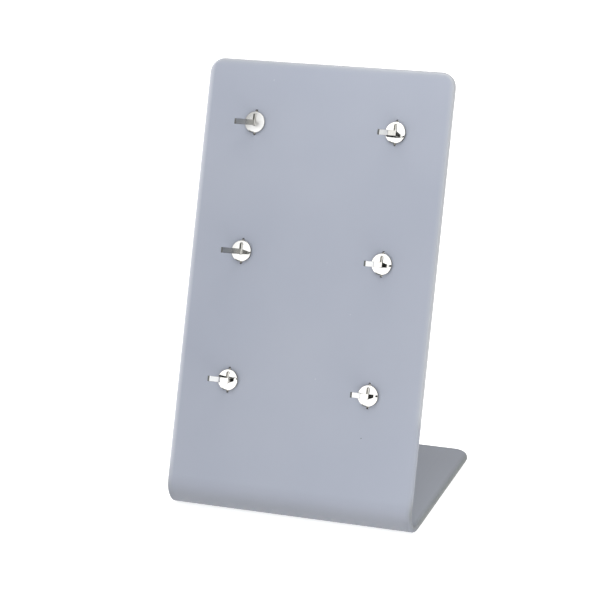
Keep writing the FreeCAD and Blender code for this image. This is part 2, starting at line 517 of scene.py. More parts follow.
@dataclass(frozen=True)
class PolishedNickelPlate:
    """Nickel plated steel, barrel polished after stamping.

    Polishing in a barrel gives a bright mirror that isn't flat: small hollows and a slight orange peel
    break up each reflection. Sheared edges stay duller and greyer than the faces. The arms rub against
    their neighbours in the barrel, which frosts them white. A dark grey is painted on as shade and
    reflection: on the arms of the clips in poorer light and near their roots, over the upper left of some
    discs, along the discs' rims and as a shadow at their lower left. The noses are painted darkest.
    """

    name: str = "polished_nickel_plate"
    face: str = "F7F6F3"
    face_warm: str = "EDEBE5"
    sheared: str = "8E8B83"
    frosted: str = "FAFAF8"
    # dark grey painted on as shade, reflection and shadow
    painted_dark: str = "40423E"
    face_roughness: float = 0.035
    sheared_roughness: float = 0.34
    frosted_roughness: float = 0.85
    painted_dark_roughness: float = 0.32
    warmth_mm: float = 2.6  # slow drift between the plate's two tints
    scratch_mm: float = 0.48  # patches of finer and coarser polish
    peel_mm: float = 1.1
    peel_depth_mm: float = 0.005

    def make(self) -> bpy.types.Material:
        """Build the material.

        Returns:
            The material, which reads Object coordinates and the edge marks.
        """
        material = bpy.data.materials.new(self.name)
        material.use_nodes = True
        tree = material.node_tree
        tree.nodes.clear()
        place = add_node(tree, "ShaderNodeTexCoord").outputs["Object"]
        warmth = add_noise(tree, place, per_metre(self.warmth_mm), 3.0)
        colour = mix_colour(tree, warmth, self.face, self.face_warm)
        scratches = add_noise(tree, place, per_metre(self.scratch_mm), 5.0, Distortion=1.2)
        limits = (self.face_roughness * 0.6, self.face_roughness * 1.6)
        roughness = remap(tree, scratches, (0.3, 0.7), limits)
        # Sheared edges and frost are finishes; the last mark paints a dark grey as shade.
        for mark, code, marked_roughness in (
            (EdgeMark.SHEARED, self.sheared, self.sheared_roughness),
            (EdgeMark.FROSTED, self.frosted, self.frosted_roughness),
            (EdgeMark.PAINTED_DARK, self.painted_dark, self.painted_dark_roughness),
        ):
            marked = read_mark(tree, mark)
            colour = mix_colour(tree, marked, colour, code)
            roughness = mix_value(tree, marked, roughness, marked_roughness)
        peel = add_noise(tree, place, per_metre(self.peel_mm), 1.0)
        depth = self.peel_depth_mm * MILLIMETRE
        peeled = add_node(tree, "ShaderNodeBump", {"Height": peel, "Strength": 0.6, "Distance": depth})
        shader = add_node(
            tree,
            "ShaderNodeBsdfPrincipled",
            {
                "Base Color": colour,
                "Metallic": 1.0,
                "Roughness": roughness,
                "Normal": peeled.outputs["Normal"],
            },
        )
        add_node(tree, "ShaderNodeOutputMaterial", {"Surface": shader.outputs["BSDF"]})
        return material


@dataclass(frozen=True)
class SeamlessPaper:
    """White paper over a light table, matt, so that a little light comes up through it.

    That light fills the shadow under the stand, as in the photograph.
    """

    colour: str = "F6F6F5"
    roughness: float = 0.95
    light_through: float = 0.65

    def make(self) -> bpy.types.Material:
        """Build the material.

        Returns:
            The material of the floor.
        """
        material = bpy.data.materials.new("seamless_paper")
        material.use_nodes = True
        shader = material.node_tree.nodes["Principled BSDF"]
        shader.inputs["Base Color"].default_value = linear(self.colour)
        shader.inputs["Roughness"].default_value = self.roughness
        shader.inputs["Emission Color"].default_value = linear(self.colour)
        shader.inputs["Emission Strength"].default_value = self.light_through
        return material


@dataclass
class BentSheet:
    """The plastic sheet: base, bend and leaning panel, drawn as a flat blank and then bent.

    On the blank, u runs across from the middle and s runs along the outside face, from the back
    end of the base to the panel's top. Depth runs from the outside face into the sheet.
    """

    width: float = 120.0
    thickness: float = 3.0
    panel_length: float = 214.0
    base_length: float = 97.0
    lean_deg: float = 24.0
    bend_radius: float = 10.0
    panel_corner: float = 7.0
    base_corner: float = 8.0
    edge_rounding: float = 1.3
    column_spacing: float = 68.8
    row_spacing: float = 60.0
    top_row_below_edge: float = 29.0
    slit_length: float = 12.0
    slit_width: float = 1.1
    slit_lip: float = 0.12  # the melted lip that cutting leaves round a slit
    bend_necking: float = 0.35  # how far the stretched outside of the bend draws in at each side
    flame_brush: float = 0.3  # polish that the flame leaves on a face beside an edge, as a share
    flame_reach: float = 1.6  # how far that polish fades out over the face
    scuff_and_shade_reach: float = 3.4  # how far in from the sides the bend is scratched dull by the counter and painted with the edges' shade
    scuff_and_shade_run: tuple[float, float] = (4.8, 7.2)  # fully and at most, from the bend's line
    heated_reach: tuple[float, float] = (2.4, 14.4)  # fully and at most, from the bend's line, the bend's painted shade
    bend_shade_inside: float = 0.2  # how much of the bend's painted shade the inside face keeps, as a share
    finish: SatinCastAcrylic = field(default_factory=SatinCastAcrylic)

    def __post_init__(self) -> None:
        """Work out the lengths and directions that follow from the sizes."""
        self.turn = math.radians(90.0 + self.lean_deg)
        self.setback = self.bend_radius * math.tan(self.turn / 2)
        self.base_run = self.base_length - self.setback
        self.arc = self.bend_radius * self.turn
        self.bend_line = self.base_run + 0.45 * self.arc
        self.total = self.base_run + self.arc + self.panel_length - self.setback
        self.corner_y = -(self.setback - self.bend_radius + self.base_length) / 2
        lean = math.radians(self.lean_deg)
        self.up_panel = np.array([0.0, math.sin(lean), math.cos(lean)])
        self.out_of_panel = np.array([0.0, -math.cos(lean), math.sin(lean)])
        self.sharp_corner = np.array([0.0, self.corner_y, 0.0])

    def on_panel(self, points: np.ndarray, row: Row, column: Column) -> np.ndarray:
        """Carry points from a clip's own frame to the panel: across, up the panel, out of it.

        Args:
            points: any shape by three, in millimetres from the middle of the clip's slit.
            row: the clip's row.
            column: the clip's column.

        Returns:
            The same points on the stand.
        """
        above = self.panel_length - self.top_row_below_edge - row.value * self.row_spacing
        middle = self.sharp_corner + self.up_panel * above
        middle[0] = column.value * self.column_spacing / 2
        axes = np.stack([np.array([1.0, 0.0, 0.0]), self.up_panel, self.out_of_panel])
        return middle + points @ axes

    def bend(self, flat: np.ndarray, depth: np.ndarray | float) -> np.ndarray:
        """Carry points of the flat blank to the bent sheet.

        In words: a point turns with the radius of the bend through the angle that its length
        reaches, no less than none and no more than the whole turn, then goes on along the tangent
        for the length that is left, and its depth is laid off towards the centre of the bend. Near
        the sides of the bend the outside face draws in, because there it has been stretched.

        Args:
            flat: any shape by two, u and s in millimetres.
            depth: how far each point lies under the outside face.

        Returns:
            The points on the stand.
        """
        across, along = flat[..., 0], flat[..., 1]
        depth = np.broadcast_to(depth, across.shape)
        angle = np.clip((along - self.base_run) / self.bend_radius, 0.0, self.turn)
        beyond = along - self.base_run - angle * self.bend_radius
        sine, cosine = np.sin(angle), np.cos(angle)
        y = self.corner_y + self.setback - sine * (self.bend_radius - depth) - cosine * beyond
        z = self.bend_radius - cosine * (self.bend_radius - depth) + sine * beyond

        middle = self.base_run + self.arc / 2
        nearness = np.exp(-(((along - middle) / (self.arc * 0.42)) ** 2))
        side = np.clip((np.abs(across) / (self.width / 2) - 0.86) / 0.14, 0.0, 1.0) ** 2
        stretched = 1.0 - depth / self.thickness
        x = across - np.sign(across) * self.bend_necking * nearness * side * stretched
        return np.stack([x, y, z], axis=-1)

    def _slit_section(self, grow: float) -> tuple[np.ndarray, np.ndarray]:
        """Half width of a slit against the distance up or down from its middle.

        Args:
            grow: how much wider the slit is on every side at this depth.

        Returns:
            Distances from the middle, and the half widths there.
        """
        radius = self.slit_width / 2 + grow
        straight = (self.slit_length - self.slit_width) / 2
        turn = np.linspace(0.0, np.pi / 2, 7)
        end = straight + radius * np.sin(turn)
        middle = np.linspace(-straight, straight, 5)[1:-1]
        distance = np.concatenate([-end[::-1], middle, end])
        half = np.concatenate([radius * np.cos(turn[::-1]), np.full(3, radius), radius * np.cos(turn)])
        return distance, half

    def _slit_middles(self) -> list[float]:
        """Places of the three rows of slits along the blank, from the lowest up."""
        tangent = self.base_run + self.arc - self.setback
        rows = [self.panel_length - self.top_row_below_edge - row.value * self.row_spacing for row in Row]
        return sorted(tangent + above for above in rows)

    def _rows(self, inset: float) -> tuple[np.ndarray, np.ndarray, np.ndarray]:
        """Rows of points along the blank, drawn in from its outline by an inset.

        Args:
            inset: distance from the blank's outline.

        Returns:
            Place of each row along the blank, half width there, and half width of a slit there.
        """
        turn = np.linspace(np.pi / 2, 0.0, 10)
        base_radius, panel_radius = self.base_corner - inset, self.panel_corner - inset
        base_end = self.base_corner - base_radius * np.sin(turn)
        panel_end = self.total - self.panel_corner + panel_radius * np.sin(turn[::-1])
        bend_end = self.base_run + self.arc
        plain = [
            np.linspace(self.base_corner, self.base_run, 22)[1:],
            np.linspace(self.base_run, bend_end, 40)[1:],
        ]
        low = bend_end
        slits = [np.zeros(len(base_end) + sum(len(run) for run in plain))]
        distance, half = self._slit_section(self.slit_lip)
        for middle in self._slit_middles():
            run = np.linspace(low, middle + distance[0], 14)[1:-1]
            plain += [run, middle + distance]
            slits += [np.zeros(len(run)), half]
            low = middle + distance[-1]
        run = np.linspace(low, self.total - self.panel_corner, 9)[1:-1]
        plain.append(run)
        slits += [np.zeros(len(run) + 10)]
        straight = np.concatenate(plain)
        half_width = np.concatenate([
            self.width / 2 - self.base_corner + base_radius * np.cos(turn),
            np.full(len(straight), self.width / 2 - inset),
            self.width / 2 - self.panel_corner + panel_radius * np.cos(turn[::-1]),
        ])
        return np.concatenate([base_end, straight, panel_end]), half_width, np.concatenate(slits)

    def _columns(self) -> tuple[np.ndarray, np.ndarray]:
        """Columns across the blank, as shares of its half width, with two at each slit.

        Returns:
            The shares from -1 to 1, and -1 or 1 where the column is a slit's left or right side.
        """
        half = self.width / 2 - self.edge_rounding
        slit = self.column_spacing / 2
        near = np.array([-3.2, -1.4, 0.0, 0.0, 1.4, 3.2])
        plain = np.linspace(-half, half, 35)
        plain = plain[np.abs(np.abs(plain) - slit) > 4.2]
        faded = half - self.flame_reach
        plain = np.concatenate([plain, [-faded, faded]])
        places = np.concatenate([plain, near - slit, near + slit])
        sides = np.concatenate([np.zeros(len(plain)), np.tile([0, 0, -1, 1, 0, 0], 2)])
        order = np.lexsort((sides, places))
        return places[order] / half, sides[order]

    def _face(self, skin: Skin, depth: float) -> None:
        """Add one broad face, with its six slits open.

        In words: the point in row s and column c is c times the half width at s, moved sideways by the
        slit's half width at s where the column is a side of a slit. The face is a little polished beside
        its edges, where it takes some of the edges' painted glow or shade, and at the two ends of the bend
        it is scratched dull by the counter and painted with the edges' shade.

        Args:
            skin: the sheet's surface.
            depth: 0 for the outside face, the thickness for the inside face.
        """
        along, half_width, slit_half = self._rows(self.edge_rounding)
        shares, sides = self._columns()
        across = half_width[:, None] * shares + slit_half[:, None] * sides
        flat = np.stack([across, np.broadcast_to(along[:, None], across.shape)], axis=-1)
        keep = np.ones((len(along) - 1, len(shares) - 1), dtype=bool)
        keep[:, sides[:-1] == -1] = False
        from_side = self.width / 2 - np.abs(across)
        from_end = np.minimum(along, self.total - along)[:, None]
        from_outline = np.minimum(from_side, from_end) - self.edge_rounding
        beside_edge = np.clip(1.0 - from_outline / self.flame_reach, 0.0, 1.0)
        melted = self.flame_brush * beside_edge * self._flamed(flat)
        full, none = self.scuff_and_shade_run
        in_bend = np.clip((none - np.abs(along[:, None] - self.bend_line)) / (none - full), 0.0, 1.0)
        scuff_and_shade = in_bend * np.clip(1.0 - from_outline / self.scuff_and_shade_reach, 0.0, 1.0)
        # The scratched ends of the bend lose their glow, so they take the edges' painted shade colour.
        marks = (
            np.maximum(melted, 0.85 * scuff_and_shade),
            self._glow(flat) * (1.0 - scuff_and_shade),
            self._heated(flat, depth),
        )
        skin.add(self.bend(flat, depth), marks, self._uv(flat), keep)

    def _heated(self, flat: np.ndarray, depth: np.ndarray | float) -> np.ndarray:
        """How much painted shade the bend gets.

        In words: a smooth step down from 1 near the bend's line to 0 farther off, of which a small share is
        left at the inside face.

        Args:
            flat: any shape by two, places on the blank.
            depth: how far each point lies under the outside face.

        Returns:
            The painted shade from 0 to 1.
        """
        full, none = self.heated_reach
        near = np.clip((none - np.abs(flat[..., 1] - self.bend_line)) / (none - full), 0.0, 1.0)
        through = 1.0 - (1.0 - self.bend_shade_inside) * depth / self.thickness
        return near * near * (3 - 2 * near) * through

    def _uv(self, flat: np.ndarray) -> np.ndarray:
        """Place on the blank from 0 to 1, at one scale both ways."""
        return (flat + np.array([self.width / 2, 0.0])) / BLANK_SPAN

    def _steps(self, flat: np.ndarray) -> tuple[np.ndarray, np.ndarray, np.ndarray]:
        """Shares that the edge marks are made from.

        In words: the share of the right side grows over 20 mm across the middle. A first smooth
        step rises just above the bend. A second rises low on the left side and, where the base
        stands behind the edge, higher up on the right side.

        Args:
            flat: any shape by two, places on the blank.

        Returns:
            The right side's share, the first step and the second step.
        """
        across, along = flat[..., 0], flat[..., 1] - self.base_run - self.arc
        to_right = np.clip(across / 20.0 + 0.5, 0.0, 1.0)
        rise = np.clip((along + 6.0 - 4.0 * to_right) / 10.0, 0.0, 1.0)
        full = np.clip((along - 4.0 - 30.0 * to_right) / 9.0, 0.0, 1.0)
        return to_right, rise * rise * (3 - 2 * rise), full * full * (3 - 2 * full)

    def _glow(self, flat: np.ndarray) -> np.ndarray:
        """How much painted glow the edge has, for light that runs inside the panel and leaves at its sides
        and top.

        In words: a first height after the first step and a full height after the second. The
        right side and the top, which are seen full on, glow less than the left side, which is
        seen from within the sheet.

        Args:
            flat: any shape by two, places on the blank.

        Returns:
            The glow from 0 to 1.
        """
        to_right, rise, full = self._steps(flat)
        along_side = np.clip((np.abs(flat[..., 0]) - self.width / 2 + 6.0) / 4.0, 0.0, 1.0)
        first = 0.6 - 0.5 * to_right
        whole = (1.0 - 0.66 * to_right) * along_side + 0.35 * (1.0 - along_side)
        return first * rise * (1.0 - full) + whole * full

    def _flamed(self, flat: np.ndarray) -> np.ndarray:
        """How fully the flame has polished an edge: low on the right side it only brushed past, and there
        the edge takes less of its painted glow or shade.
        """
        to_right, rise, full = self._steps(flat)
        return 1.0 - 0.75 * to_right * rise * (1.0 - full)

    def _rim(self, skin: Skin) -> None:
        """Add the rounded edge all round the blank.

        In words: the outline drawn in by e(1 - sin a) at depth e(1 - cos a) for a quarter turn, straight
        through the sheet, then the same quarter turn backwards. The far corner, where the light from behind
        comes through, gets a little more painted glow.

        Args:
            skin: the sheet's surface.
        """
        quarter = np.linspace(0.0, np.pi / 2, 7)
        rounding = self.edge_rounding
        insets = np.concatenate([rounding * (1 - np.sin(quarter)), rounding * (1 - np.cos(quarter))])
        depths = np.concatenate([
            rounding * (1 - np.cos(quarter)),
            self.thickness - rounding + rounding * np.sin(quarter),
        ])
        ramp = self.flame_brush + (1.0 - self.flame_brush) * np.sin(quarter)
        polish = np.concatenate([ramp, ramp[::-1]])
        through = np.concatenate([np.zeros(7), np.sin(quarter)])
        shares, _ = self._columns()
        loops = []
        for inset in insets:
            along, half, _ = self._rows(inset)
            base = np.stack([shares * half[0], np.full(len(shares), along[0])], axis=-1)
            right = np.stack([half, along], axis=-1)
            panel = np.stack([shares[::-1] * half[-1], np.full(len(shares), along[-1])], axis=-1)
            left = np.stack([-half[::-1], along[::-1]], axis=-1)
            loops.append(np.concatenate([base, right, panel, left]))
        flat = np.stack(loops)
        glow = self._glow(flat)
        glow = glow + 0.5 * through[:, None] * glow * (1.0 - glow)
        marks = (polish[:, None] * self._flamed(flat), glow, self._heated(flat, depths[:, None]))
        skin.add(self.bend(flat, depths[:, None]), marks, self._uv(flat))

    def _slit_walls(self, skin: Skin) -> None:
        """Add the walls of the six slits, with a small lip at either face.

        Args:
            skin: the sheet's surface.
        """
        lip = self.slit_lip
        depth = np.array([0.0, lip, self.thickness - lip, self.thickness])[:, None]
        sections = [self._slit_section(grow) for grow in (lip, 0.0, 0.0, lip)]
        for middle, column, side in product(self._slit_middles(), Column, (-1, 1)):
            centre = column.value * self.column_spacing / 2
            flat = np.stack([
                np.stack([centre + side * half, middle + distance], axis=-1) for distance, half in sections
            ])
            # The walls take over half of the edges' painted shade colour, a painted shade inside the slits.
            skin.add(self.bend(flat, depth), (0.55, 0.0, 0.0), self._uv(flat))

    def build(self) -> bpy.types.Object:
        """Make the sheet and put it in the place of its CAD node.

        Returns:
            The sheet's object.
        """
        skin = Skin(EdgeMark.POLISHED.value, EdgeMark.GLOWING.value, EdgeMark.HEATED.value)
        self._face(skin, 0.0)
        self._face(skin, self.thickness)
        self._rim(skin)
        self._slit_walls(skin)
        sheet = skin.to_object("sheet_bent_acrylic", sharp_deg=40.0)
        place_piece(sheet, "bent_sheet", self.finish.make())
        return sheet


@dataclass(frozen=True)
class ClipFit:
    """How one clip sits: each was pressed and pushed in by hand, so no two are quite alike.

    The tilt of the arm follows the source's own rows. Frost tells how far the arm is frosted white by the
    barrel. Arm shade and root shade are painted shade that darkens the arm farther out and at its root,
    more on the clips that lie in poorer light. Upper-left shade is a painted reflection that greys the
    disc's upper left. Hazed is how far the barrel has left its whole face cloudy, which blurs what it
    mirrors. Lean is how far the disc's top stands off the panel.
    """

    tilt_deg: float
    frost: float = 1.0
    arm_shade: float = 0.0
    root_shade: float = 0.0
    upper_left_shade: float = 0.0
    hazed: float = 0.0
    lean_deg: float = 0.0


@dataclass
class PendantClip:
    """One clip: the round disc and the folded strip that goes through it, in the clip's frame."""

    disc_diameter: float = 9.8
    disc_thickness: float = 1.6
    disc_die_roll: float = 0.22
    disc_back_chamfer: float = 0.6
    disc_crown: float = 42.0  # radius of the face's slight dome
    # A painted shadow lies along the disc's lower left rim.
    lower_left_shadow_deg: float = 256.0
    lower_left_shadow_half_deg: float = 21.0
    lower_left_shadow_fade: float = 0.05  # how far past that cosine the painted shadow is at its fullest
    slot_clearance: float = 0.1
    leaf: float = 0.4
    fold_gap: float = 0.1
    stub_height: float = 5.4
    stub_below: float = 1.6
    stub_out: float = 1.1
    stub_rounding: float = 0.8
    arm_height: float = 2.5
    arm_reach: float = 24.97  # a hair inside the CAD arm, whose end is in facets
    arm_end_rounding: float = 0.4
    arm_root_rounding: float = 0.3
    back_height: float = 10.8
    tab_reach: float = 5.5
    tab_bend: float = 0.15
    sheet_thickness: float = 3.0
    shear_radius: float = 0.14  # the soft corner that the barrel leaves on a sheared edge
    step_lean: float = 0.04  # a square step of the strip's outline leans by this much
    frost_from: float = 13.0  # the barrel reaches the arm only this far out from the panel
    frost_fade: float = 1.2
    # how dark the nose is painted
    nose_dark: float = 0.9
    tab_dullness: float = 0.8

    def __post_init__(self) -> None:
        """Work out how far from the panel the arm's nose starts."""
        self.nose_from = self.arm_reach - self.leaf - self.fold_gap / 2

    def disc_surface(self, fit: ClipFit) -> Skin:
        """Stamped disc with a slot: rings from the slot out to the rim, round it and back.

        In words: a ring on the face is the slot's outline blended towards the circle, at a height that
        falls with the square of the distance from the middle over twice the crown radius. A painted shadow
        lies along the lower left of the rim, in the short arc whose direction makes a cosine with the
        shadow's own that is over the cosine of its half width. The rolled rim is painted up to half dark as
        shade. A painted reflection greys the face towards its upper left, and haze grows towards its lower
        right.

        Args:
            fit: how this clip sits.

        Returns:
            The disc's surface in the clip's frame.
        """
        slot, angle = self._slot_and_circle()
        circle = np.stack([np.cos(angle), np.sin(angle)], axis=-1)
        rim = self.disc_diameter / 2
        roll = self.disc_die_roll
        back_rim = rim - self.disc_back_chamfer

        def height(flat: np.ndarray) -> np.ndarray:
            """Height of the crowned and slightly leaning face over a point."""
            leaning = math.radians(fit.lean_deg) * flat[..., 1]
            crowned = self.disc_thickness - (flat**2).sum(axis=-1) / (2 * self.disc_crown)
            return (crowned + leaning)[:, None]

        rings, sheared, shadow_flags = [], [], []

        def add_ring(flat: np.ndarray, level: np.ndarray | float, shear: float, takes_shadow: float) -> None:
            """Add one ring of the grid, with how sheared it is and whether it takes the painted shadow."""
            rings.append(np.concatenate([flat, np.broadcast_to(level, (len(flat), 1))], axis=-1))
            sheared.append(shear)
            shadow_flags.append(takes_shadow)

        for share in np.linspace(0.0, 1.0, 9):
            flat = slot * (1 - share) + circle * (rim - roll) * share
            add_ring(flat, height(flat), 0.0, float(share == 1.0))
        shoulder = height(circle * (rim - roll))
        for turn in np.linspace(0.0, np.pi / 2, 6)[1:]:
            flat = circle * (rim - roll + roll * math.sin(turn))
            add_ring(flat, shoulder - roll + roll * math.cos(turn), 0.3 + 0.7 * turn / (np.pi / 2), 1.0)
        add_ring(circle * rim, self.disc_back_chamfer, 1.0, 1.0)
        add_ring(circle * back_rim, 0.0, 1.0, 1.0)
        for share in (0.5, 0.0):
            add_ring(slot * (1 - share) + circle * back_rim * share, 0.0, 0.5, 0.0)
        add_ring(slot, height(slot), 0.0, 0.0)

        grid = np.stack(rings)
        shear, takes_shadow = np.array(sheared)[:, None], np.array(shadow_flags)[:, None]
        around = np.cos(angle - math.radians(self.lower_left_shadow_deg)) / math.cos(math.radians(self.lower_left_shadow_half_deg))
        lower_left_shadow = takes_shadow * np.clip((around - 1.0) / self.lower_left_shadow_fade, 0.0, 1.0)
        # Painted shade on the rolled rim.
        on_rim = 0.5 * np.clip(shear - 0.4, 0.0, 0.6) / 0.6
        to_upper_left = (grid[..., 1] - grid[..., 0]) / (math.sqrt(2.0) * rim)
        # Painted reflection: the face greys towards its upper left.
        on_face = fit.upper_left_shade * np.clip(0.55 + 0.6 * to_upper_left, 0.0, 1.0)
        marked = np.maximum(np.maximum(on_rim, lower_left_shadow), on_face)
        hazed = fit.hazed * np.clip(0.7 - 0.5 * to_upper_left, 0.0, 1.0)
        grid, marked, hazed = (np.concatenate([part, part[:, :1]], axis=1) for part in (grid, marked, hazed))
        skin = Skin(EdgeMark.SHEARED.value, EdgeMark.FROSTED.value, EdgeMark.PAINTED_DARK.value)
        skin.add(grid, (shear, hazed, marked))
        return skin

    def _slot_and_circle(self) -> tuple[np.ndarray, np.ndarray]:
        """The slot's outline, and for each of its points the direction of its match on the circle.

        In words: each long side of the slot faces the circle for 74 degrees either way of level,
        and each short side for the 32 degrees that are left above or below.

        Returns:
            Points by two, up the right side and down the left, and the directions in radians.
        """
        half = self.leaf + self.fold_gap / 2 + self.slot_clearance
        low = -self.stub_below - self.slot_clearance
        high = low + self.stub_height + 2 * self.slot_clearance
        rise = np.linspace(0.0, 1.0, 33)
        cross = np.linspace(1.0, -1.0, 9)[1:-1]
        slot = np.concatenate([
            np.stack([np.full(len(rise), half), low + rise * (high - low)], axis=-1),
            np.stack([cross * half, np.full(len(cross), high)], axis=-1),
            np.stack([np.full(len(rise), -half), high - rise * (high - low)], axis=-1),
            np.stack([-cross * half, np.full(len(cross), low)], axis=-1),
        ])
        angle = np.concatenate([-74 + rise * 148, 90 - cross * 16, 106 + rise * 148, 270 - cross * 16])
        return slot, np.radians(angle)

    def _side_outline(self, tilt: float) -> tuple[np.ndarray, np.ndarray]:
        """The strip seen from the side: its top line and its bottom line.

        Args:
            tilt: how far the arm rises, in radians.

        Returns:
            Two arrays of (distance out of the panel, height), each in order outwards.
        """
        front = self.disc_thickness + self.stub_out
        low = -self.stub_below
        high = low + self.stub_height
        back = -self.sheet_thickness - self.tab_bend - self.leaf - 1.0
        lean = self.step_lean
        slope = math.tan(tilt)
        arm_top = low + self.arm_height / math.cos(tilt)
        end = self.arm_reach
        quarter = np.linspace(0.0, np.pi / 2, 7)

        radius = self.stub_rounding
        crown = np.stack([
            front - lean - radius + radius * np.sin(quarter),
            high - radius + radius * np.cos(quarter),
        ], axis=-1)
        root = self.arm_root_rounding
        foot = np.stack([
            front + root - root * np.cos(quarter),
            arm_top + root - root * np.sin(quarter),
        ], axis=-1)
        nose = self.arm_end_rounding
        tip = np.stack([
            end - nose + nose * np.sin(quarter),
            arm_top + slope * (end - front) - nose + nose * np.cos(quarter),
        ], axis=-1)
        toe = np.stack([
            end - nose + nose * np.sin(quarter),
            low + slope * (end - front) + nose - nose * np.cos(quarter),
        ], axis=-1)
        half_back = self.back_height / 2
        top = np.concatenate([[[back, half_back], [-lean, half_back], [0.0, high]], crown, foot, tip])
        bottom = np.concatenate([[[back, -half_back], [-lean, -half_back], [0.0, low], [front, low]], toe])
        return top, bottom

    def strip_surface(self, fit: ClipFit) -> Skin:
        """Folded strip: the leaf's rounded section carried along the folded line.

        In words: the line runs from one tab's tip to the slit, turns out along the arm, folds back
        at the arm's end and returns to the other tab. At each station the section is as high as the
        side outline is there, and half a leaf thick to either side of the line. The tabs behind
        the panel were pressed flat after polishing and are nearly as dull as the sheared edges.
        Painted shade starts on the faces in front of the stub and on the edges just past the disc, and the
        nose is painted darkest. Frost starts farther out and hardly shows on the edges.

        Args:
            fit: how this clip sits.

        Returns:
            The strip's surface in the clip's frame.
        """
        top, bottom = self._side_outline(math.radians(fit.tilt_deg))
        line_x, line_z = self._folded_line(np.concatenate([top[:, 0], bottom[:, 0]]))
        step_x, step_z = np.gradient(line_x), np.gradient(line_z)
        length = np.hypot(step_x, step_z)
        offset, share, over, sheared = self._section()
        x = line_x[:, None] + (step_z / length)[:, None] * offset
        z = line_z[:, None] + (-step_x / length)[:, None] * offset
        on_arm = np.minimum(z, self.arm_reach)
        high = np.interp(on_arm, top[:, 0], top[:, 1]) - self.shear_radius
        low = np.interp(on_arm, bottom[:, 0], bottom[:, 1]) + self.shear_radius
        grid = np.stack([x, low + (high - low) * share + over, z], axis=-1)

        front = self.disc_thickness + self.stub_out
        on_the_arm = np.clip((z - front + 0.2) / 0.4, 0.0, 1.0)
        past_disc = np.clip((z - self.disc_thickness) / 0.3, 0.0, 1.0)
        outer = np.clip((z - self.frost_from) / self.frost_fade, 0.0, 1.0)
        at_nose = self.nose_dark * np.clip((z - self.nose_from) / 0.15, 0.0, 1.0)
        # Painted shade along the arm, set for each clip's light.
        arm_shade = fit.root_shade * (1.0 - outer) + fit.arm_shade * outer
        marked = np.maximum(arm_shade * np.maximum(on_the_arm, past_disc * sheared), at_nose)
        behind = np.clip((-self.sheet_thickness - z) / 0.1, 0.0, 1.0)
        dull = np.maximum(sheared, self.tab_dullness * behind)
        frosted = fit.frost * outer * (1.0 - 0.8 * dull)
        skin = Skin(EdgeMark.SHEARED.value, EdgeMark.FROSTED.value, EdgeMark.PAINTED_DARK.value)
        skin.add(grid, (dull, frosted, marked))
        for end in (0, -1):
            face, other = grid[end, :9], grid[end, 15:24][::-1]
            skin.add(np.stack([face, other]), (1.0, 0.0, 0.0))
        return skin

    def _folded_line(self, needed: np.ndarray) -> tuple[np.ndarray, np.ndarray]:
        """The middle of the leaf as it is folded, seen along the panel.

        Args:
            needed: distances from the panel's front at which the line must have a point.

        Returns:
            The line's points across and out of the panel, from one tab's tip to the other's.
        """
        middle = self.fold_gap / 2 + self.leaf / 2
        level = -self.sheet_thickness - self.tab_bend - self.leaf / 2
        bend = self.tab_bend + self.leaf / 2
        turn = np.linspace(0.0, np.pi / 2, 7)
        tab = np.linspace(self.tab_reach, middle + bend, 8)[:-1]
        tab_x = np.concatenate([tab, middle + bend - bend * np.sin(turn)])
        tab_z = np.concatenate([np.full(len(tab), level), level + bend - bend * np.cos(turn)])
        stations = np.unique(np.concatenate([needed, np.linspace(0.0, self.nose_from, 30)]))
        stations = stations[(stations > tab_z[-1] + 1e-6) & (stations < self.nose_from - 1e-6)]
        fold = np.linspace(0.0, np.pi, 15)
        leaf_x = np.concatenate([tab_x, np.full(len(stations), middle)])
        leaf_z = np.concatenate([tab_z, stations])
        line_x = np.concatenate([leaf_x, middle * np.cos(fold), -leaf_x[::-1]])
        line_z = np.concatenate([leaf_z, self.nose_from + middle * np.sin(fold), leaf_z[::-1]])
        return line_x, line_z

    def _section(self) -> tuple[np.ndarray, np.ndarray, np.ndarray, np.ndarray]:
        """The leaf's section: up its outer face, over its top edge, down its inner face and back.

        Returns:
            For each point its distance from the leaf's middle, its share of the height between the
            two edges, its height over that, and whether it lies on a sheared edge.
        """
        radius, side = self.shear_radius, self.leaf / 2
        corner = np.linspace(0.0, np.pi / 2, 4)
        rise = np.linspace(0.0, 1.0, 9)
        level = np.zeros(9)
        offset = np.concatenate([
            np.full(9, side),
            side - radius + radius * np.cos(corner)[1:],
            -side + radius - radius * np.sin(corner)[:-1],
            np.full(9, -side),
            -side + radius - radius * np.cos(corner)[1:],
            side - radius + radius * np.sin(corner),
        ])
        over = np.concatenate([
            level,
            radius * np.sin(corner)[1:],
            radius * np.cos(corner)[:-1],
            level,
            -radius * np.sin(corner)[1:],
            -radius * np.cos(corner),
        ])
        share = np.concatenate([rise, np.ones(6), rise[::-1], np.zeros(7)])
        sheared = np.concatenate([level, np.ones(6), level, np.ones(7)])
        return offset, share, over, sheared


